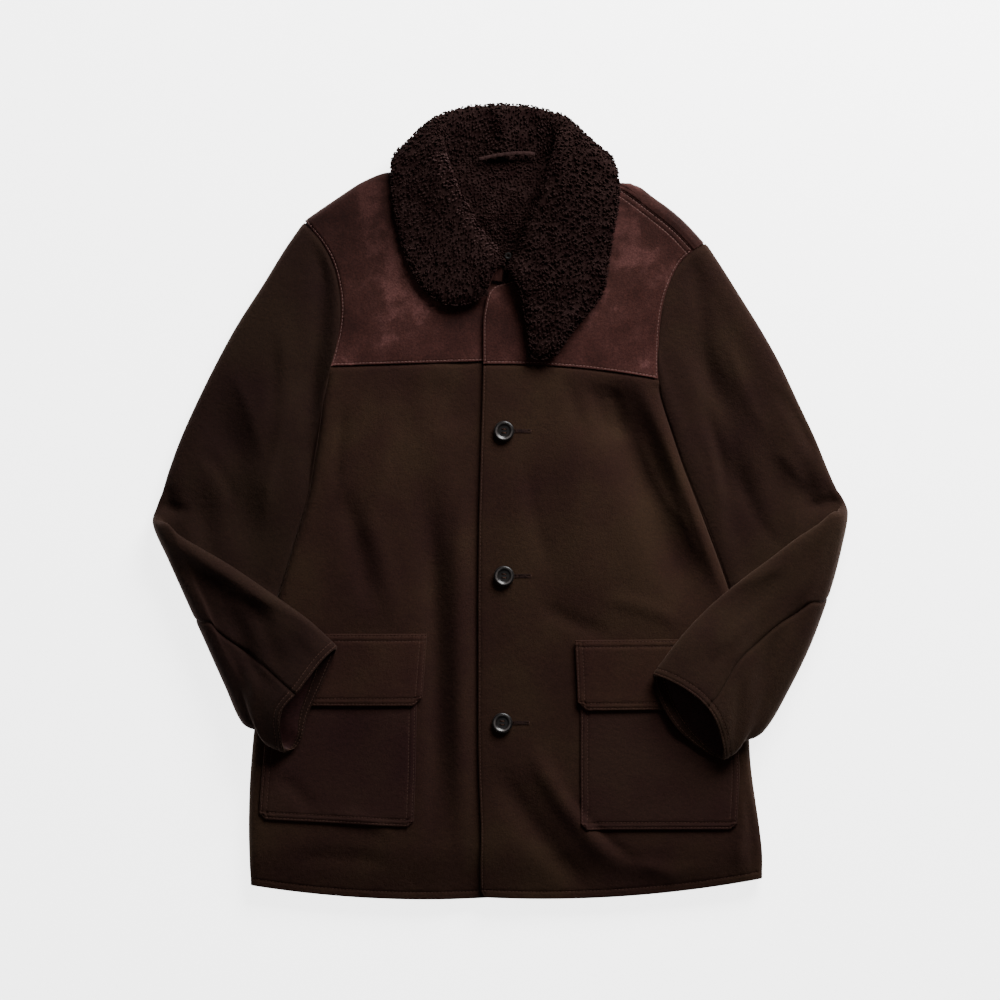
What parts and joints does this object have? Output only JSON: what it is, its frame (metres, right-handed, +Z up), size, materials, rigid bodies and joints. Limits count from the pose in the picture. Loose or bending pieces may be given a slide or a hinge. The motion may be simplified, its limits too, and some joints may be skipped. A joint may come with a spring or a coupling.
{
  "type": "donkey coat",
  "caption": "Donkey coat laid flat and buttoned, with yokes, a fleece collar folded down, patch pockets with flaps and the forearms folded in over them.",
  "frame": {"origin": "centre of the bounding box, on the surface that the coat lies on", "axes": "+X to the wearer's left, +Y towards the collar, +Z up from the surface"},
  "size_m": [0.7652, 0.8782, 0.0514],
  "materials": {
    "wool_melton": "thick felted wool",
    "suede": "napped suede",
    "fleece": "curly pile",
    "lining_twill": "smooth lining",
    "button_horn": "polished"
  },
  "bodies": {
    "root": {"back_panel": "wool_melton", "front_l": "wool_melton", "front_r": "wool_melton", "pocket_l": "wool_melton", "pocket_r": "wool_melton", "pocket_flap_l": "wool_melton", "pocket_flap_r": "wool_melton", "sleeve_top_l": "wool_melton", "sleeve_top_r": "wool_melton", "sleeve_under_l": "wool_melton", "sleeve_under_r": "wool_melton", "back_yoke": "suede", "front_yoke_l": "suede", "front_yoke_r": "suede", "collar_under": "suede", "hanger_loop": "suede", "collar_upper": "fleece", "neck_lining": "fleece", "cuff_lining_l": "lining_twill", "cuff_lining_r": "lining_twill", "button_1": "button_horn", "button_2": "button_horn", "button_3": "button_horn", "neck_button": "button_horn"}
  },
  "joints": []
}
